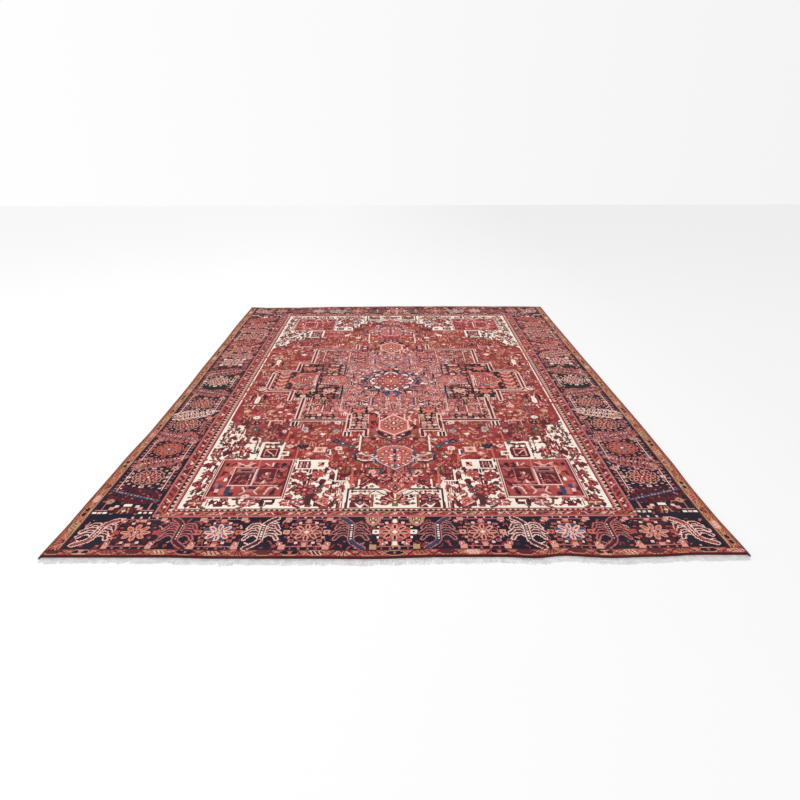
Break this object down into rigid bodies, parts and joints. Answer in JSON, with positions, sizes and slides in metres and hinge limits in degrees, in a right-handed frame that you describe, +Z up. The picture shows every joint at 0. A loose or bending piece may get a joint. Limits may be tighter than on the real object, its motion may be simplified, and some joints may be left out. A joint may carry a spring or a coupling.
{
  "type": "area rug",
  "caption": "Rectangular hand-knotted wool rug with a stepped medallion, corner panels, nested borders, overcast sides and short cotton fringes.",
  "frame": {"origin": "middle of the rug in plan, on the plane of its underside, where it lies on the floor", "axes": "+X across the rug, +Y along the rug from its front fringe to its back fringe, +Z up, out of the pile"},
  "size_m": [3, 4.0918, 0.0093],
  "materials": {
    "cotton_foundation": "tight plain weave of undyed cotton warps and wefts, matt",
    "field_wool": "clipped wool pile, madder red ground with ivory, navy and rose figures, low sheen",
    "border_wool": "clipped wool pile, navy ground with rose, ivory and rust figures, low sheen",
    "inner_guard_wool": "clipped wool pile, rose and red stripes with a dark sawtooth line, low sheen",
    "outer_guard_wool": "clipped wool pile, rust ground with slanted leaves in navy and tan, low sheen",
    "cord_cotton": "bundle of plied undyed cotton warps, matt",
    "overcast_wool": "dark wool yarn wrapped round the side cord, matt",
    "twined_wool": "dark red wool yarn twined across the end, matt",
    "flat_weave_cotton": "weft-faced flat weave of grey-white cotton, matt",
    "fringe_cotton": "short grey-white cotton warp ends, worn and matted"
  },
  "bodies": {
    "root": {"edge_cord_left": "cord_cotton", "edge_cord_right": "cord_cotton", "field_pile": "field_wool", "flat_weave_back": "flat_weave_cotton", "flat_weave_front": "flat_weave_cotton", "foundation": "cotton_foundation", "fringe_back": "fringe_cotton", "fringe_front": "fringe_cotton", "inner_guard_back": "inner_guard_wool", "inner_guard_front": "inner_guard_wool", "inner_guard_left": "inner_guard_wool", "inner_guard_right": "inner_guard_wool", "main_border_back": "border_wool", "main_border_front": "border_wool", "main_border_left": "border_wool", "main_border_right": "border_wool", "outer_guard_back": "outer_guard_wool", "outer_guard_front": "outer_guard_wool", "outer_guard_left": "outer_guard_wool", "outer_guard_right": "outer_guard_wool", "overcast_left": "overcast_wool", "overcast_right": "overcast_wool", "twined_row_back": "twined_wool", "twined_row_front": "twined_wool"}
  },
  "joints": []
}
